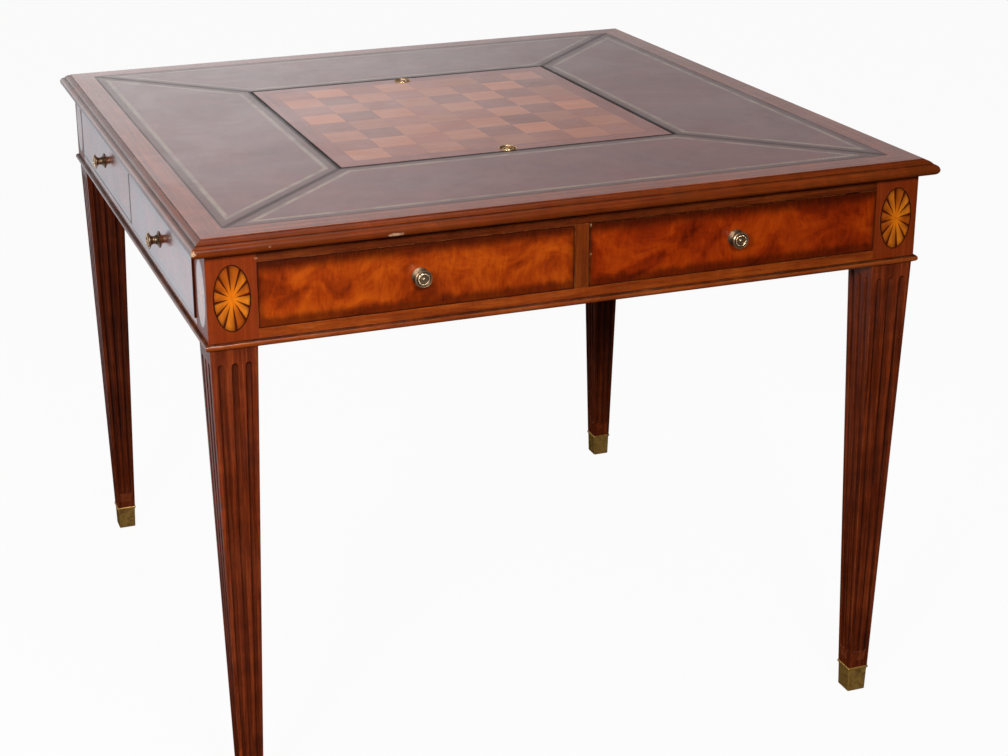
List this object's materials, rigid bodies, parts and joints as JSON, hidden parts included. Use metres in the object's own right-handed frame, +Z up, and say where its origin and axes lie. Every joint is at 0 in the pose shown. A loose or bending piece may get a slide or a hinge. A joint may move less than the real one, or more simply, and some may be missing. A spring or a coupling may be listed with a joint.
{
  "type": "chess table with inlaid board",
  "caption": "Square mahogany games table with a leather top, lift-out inlaid chess board over a backgammon well, apron drawers, fan inlays and fluted tapered legs.",
  "frame": {"origin": "on the floor, under the middle of the square top", "axes": "+Z up; -Y is the side with the drawer seen on the right of the picture; +X to the right of someone who faces that side"},
  "size_m": [0.9656, 0.965, 0.771],
  "materials": {
    "leg_mahogany": "dark polished mahogany",
    "mahogany": "polished mahogany",
    "flame_mahogany": "polished flame mahogany veneer",
    "satinwood": "sand-shaded satinwood inlay",
    "ebony_stringing": "black stringing",
    "board_light": "polished tan veneer",
    "board_dark": "polished brown veneer",
    "leather": "glazed brown leather with tooled lines",
    "well_leather": "dark green leather",
    "points_light": "buff leather",
    "points_dark": "red leather",
    "brass": "aged brass",
    "drawer_oak": "plain waxed oak",
    "carcase_pine": "bare pine"
  },
  "bodies": {
    "table": {"leg_front_left": "leg_mahogany", "leg_front_right": "leg_mahogany", "leg_back_right": "leg_mahogany", "leg_back_left": "leg_mahogany", "ferrule_front_left": "brass", "ferrule_front_right": "brass", "ferrule_back_right": "brass", "ferrule_back_left": "brass", "patera_stringing": "ebony_stringing", "patera_petals": "satinwood", "top_ground_boards": "carcase_pine", "top_border_front": "mahogany", "top_border_right": "mahogany", "top_border_back": "mahogany", "top_border_left": "mahogany", "leather_panel_front": "leather", "leather_panel_right": "leather", "leather_panel_back": "leather", "leather_panel_left": "leather", "well_walls": "mahogany", "well_floor": "well_leather", "well_bar": "mahogany", "backgammon_points_light": "points_light", "backgammon_points_dark": "points_dark", "upper_rails": "mahogany", "lower_rails": "mahogany", "drawer_stiles": "mahogany", "drawer_partitions": "carcase_pine", "drawer_runners": "carcase_pine", "bead_moulding": "mahogany", "false_fronts": "flame_mahogany", "false_front_knobs": "brass", "corner_blocks": "carcase_pine"},
    "board": {"board_core": "mahogany", "board_light_squares": "board_light", "board_dark_squares": "board_dark", "board_crossbanding": "board_dark", "pull_plates": "brass"},
    "pull_ring_front": {"pull_ring_front": "brass"},
    "pull_ring_back": {"pull_ring_back": "brass"},
    "drawer_front": {"drawer_front_front": "flame_mahogany", "drawer_front_sides": "drawer_oak", "drawer_front_back": "drawer_oak", "drawer_front_bottom": "drawer_oak", "drawer_front_knob": "brass"},
    "drawer_right": {"drawer_right_front": "flame_mahogany", "drawer_right_sides": "drawer_oak", "drawer_right_back": "drawer_oak", "drawer_right_bottom": "drawer_oak", "drawer_right_knob": "brass"},
    "drawer_back": {"drawer_back_front": "flame_mahogany", "drawer_back_sides": "drawer_oak", "drawer_back_back": "drawer_oak", "drawer_back_bottom": "drawer_oak", "drawer_back_knob": "brass"},
    "drawer_left": {"drawer_left_front": "flame_mahogany", "drawer_left_sides": "drawer_oak", "drawer_left_back": "drawer_oak", "drawer_left_bottom": "drawer_oak", "drawer_left_knob": "brass"}
  },
  "joints": [
    {"name": "drawer_front_slide", "type": "slide", "parent": "table", "child": "drawer_front", "axis": [0, -1, 0], "range_m": [0, 0.15]},
    {"name": "drawer_right_slide", "type": "slide", "parent": "table", "child": "drawer_right", "axis": [1, 0, 0], "range_m": [0, 0.15]},
    {"name": "drawer_back_slide", "type": "slide", "parent": "table", "child": "drawer_back", "axis": [0, 1, 0], "range_m": [0, 0.15]},
    {"name": "drawer_left_slide", "type": "slide", "parent": "table", "child": "drawer_left", "axis": [-1, 0, 0], "range_m": [-0.0025, 0.1475]},
    {"name": "board_lift", "type": "slide", "parent": "table", "child": "board", "axis": [0, 0, 1], "range_m": [0, 0.12]},
    {"name": "pull_ring_front_hinge", "type": "hinge", "parent": "board", "child": "pull_ring_front", "pos_m": [0, -0.22595, 0.7684], "axis": [1, 0, 0], "range_deg": [0, 90]},
    {"name": "pull_ring_back_hinge", "type": "hinge", "parent": "board", "child": "pull_ring_back", "pos_m": [0, 0.22595, 0.7684], "axis": [-1, 0, 0], "range_deg": [0, 90]}
  ]
}
